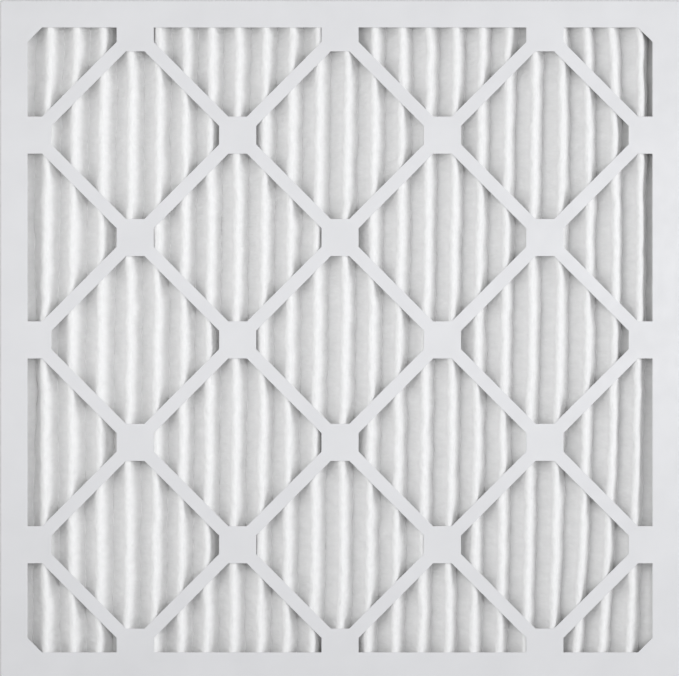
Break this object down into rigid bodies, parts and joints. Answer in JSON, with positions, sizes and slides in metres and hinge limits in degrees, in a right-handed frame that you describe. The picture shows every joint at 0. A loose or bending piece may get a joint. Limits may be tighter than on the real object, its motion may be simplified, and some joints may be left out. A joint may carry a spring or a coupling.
{
  "type": "pleated panel air filter",
  "caption": "Flat square ventilation filter: white pleated nonwoven media between two folded paperboard trays with diamond lattice faces.",
  "frame": {"origin": "centre of the rear face, on the surface that the filter lies on", "axes": "+Z out of the front face, along the air path; +X across the pleats; +Y along the pleats, towards the top edge"},
  "size_m": [0.4952, 0.4952, 0.0191],
  "materials": {
    "board": "smooth cool-white clay-coated paperboard, matte, with raw fibre edges",
    "media": "soft white synthetic nonwoven, matte, faintly mottled",
    "grid_wire": "galvanised drawn wire, dull grey",
    "hot_melt": "milky set hot-melt adhesive"
  },
  "bodies": {
    "root": {"front_frame": "board", "rear_frame": "board", "pleated_media": "media", "wire_backing": "grid_wire", "seal_top": "hot_melt", "seal_bottom": "hot_melt", "seal_left": "hot_melt", "seal_right": "hot_melt"}
  },
  "joints": []
}
